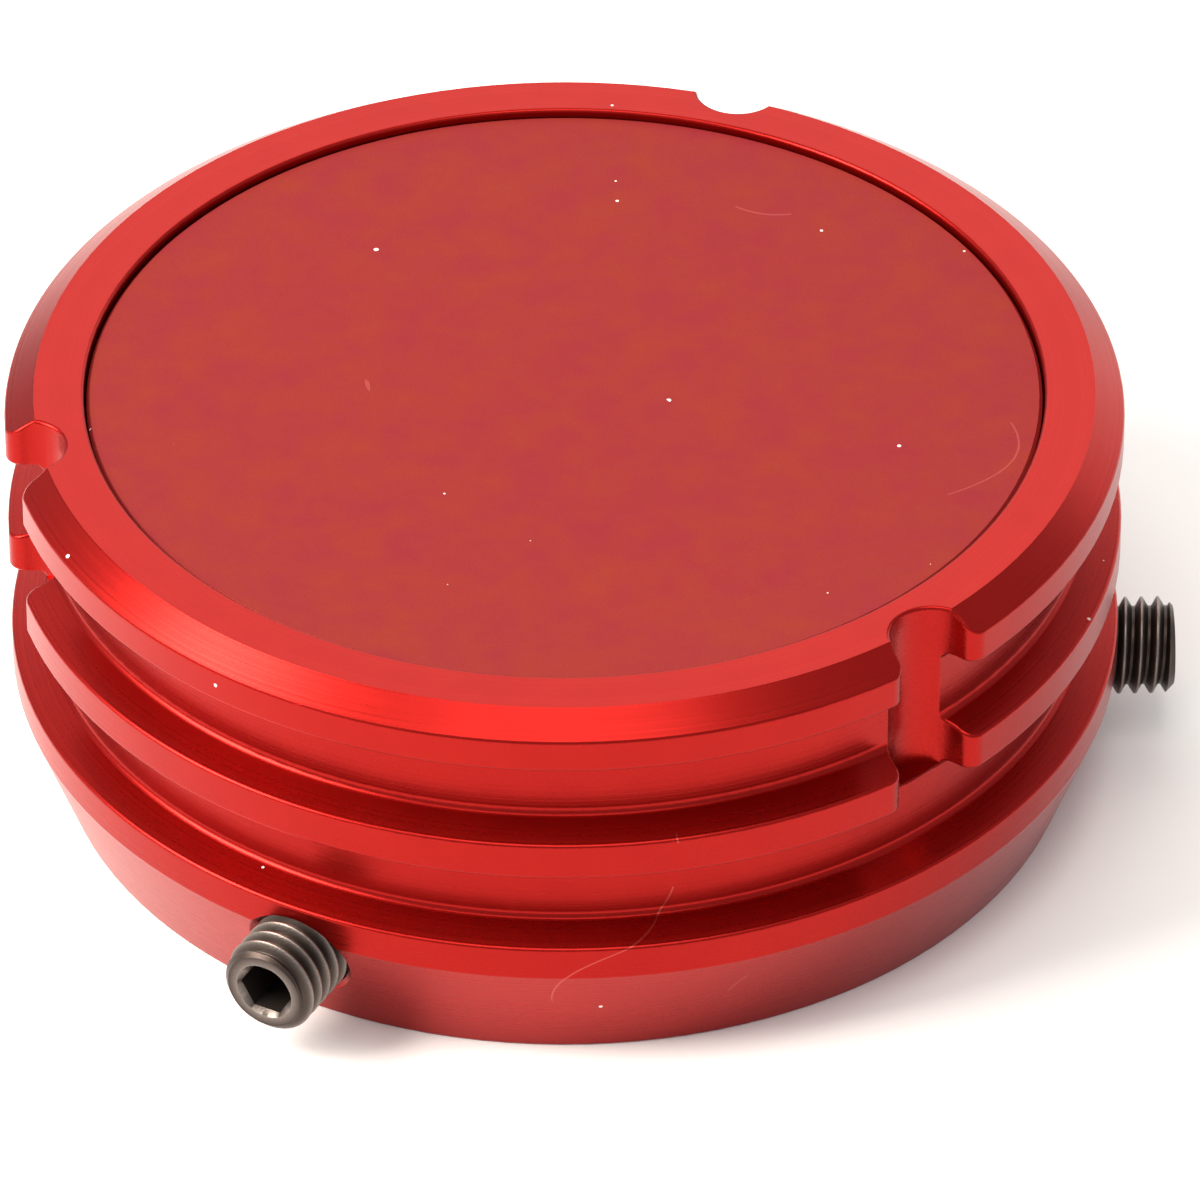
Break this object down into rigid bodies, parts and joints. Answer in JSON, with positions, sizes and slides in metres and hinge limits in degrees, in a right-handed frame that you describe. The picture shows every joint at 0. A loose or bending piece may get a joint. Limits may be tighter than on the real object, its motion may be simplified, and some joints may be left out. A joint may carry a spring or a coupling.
{
  "type": "blind flange",
  "caption": "Round anodised blanking flange with bayonet notches and ring grooves; radial grub screws clamp it on a tube end, and a separate face disc closes it.",
  "frame": {"origin": "on the axis of the tube bore, at the base face", "axes": "+Z along the axis from the base face to the closed face; +X through the first grub screw"},
  "size_m": [0.0715, 0.068, 0.0262],
  "materials": {
    "red_anodised": "fine turned, satin red anodised",
    "red_matte_face": "bead blasted and red anodised, matte",
    "black_oxide_steel": "black oxide",
    "plain_steel": "zinc plated",
    "black_rubber": "moulded",
    "brass": "turned"
  },
  "bodies": {
    "flange": {"flange_body": "red_anodised", "blanking_disc": "red_matte_face", "disc_seal": "black_rubber", "tube_seal": "black_rubber", "disc_screw_1": "plain_steel", "disc_screw_2": "plain_steel", "disc_screw_3": "plain_steel", "disc_screw_4": "plain_steel"},
    "pad_1": {"pressure_pad_1": "brass"},
    "screw_1": {"grub_screw_1": "black_oxide_steel"},
    "pad_2": {"pressure_pad_2": "brass"},
    "screw_2": {"grub_screw_2": "black_oxide_steel"},
    "pad_3": {"pressure_pad_3": "brass"},
    "screw_3": {"grub_screw_3": "black_oxide_steel"}
  },
  "joints": [
    {"name": "pad_slide_1", "type": "slide", "parent": "flange", "child": "pad_1", "axis": [1, 0, 0], "range_m": [-0.0014, 0.002]},
    {"name": "screw_turn_1", "type": "hinge", "parent": "pad_1", "child": "screw_1", "pos_m": [0.03, 0, 0.0055], "axis": [1, 0, 0], "range_deg": [-504.5, 720.5]},
    {"name": "pad_slide_2", "type": "slide", "parent": "flange", "child": "pad_2", "axis": [-0.5, 0.866, 0], "range_m": [-0.0014, 0.002]},
    {"name": "screw_turn_2", "type": "hinge", "parent": "pad_2", "child": "screw_2", "pos_m": [-0.015, 0.02598, 0.0055], "axis": [-0.5, 0.866, 0], "range_deg": [-504.5, 720.5]},
    {"name": "pad_slide_3", "type": "slide", "parent": "flange", "child": "pad_3", "axis": [-0.5, -0.866, 0], "range_m": [-0.0014, 0.002]},
    {"name": "screw_turn_3", "type": "hinge", "parent": "pad_3", "child": "screw_3", "pos_m": [-0.015, -0.02598, 0.0055], "axis": [-0.5, -0.866, 0], "range_deg": [-504.5, 720.5]}
  ],
  "couplings": [
    {"joint": "screw_turn_1", "follows": "pad_slide_1", "rad_per_m": 6283.2},
    {"joint": "screw_turn_2", "follows": "pad_slide_2", "rad_per_m": 6283.2},
    {"joint": "screw_turn_3", "follows": "pad_slide_3", "rad_per_m": 6283.2}
  ]
}
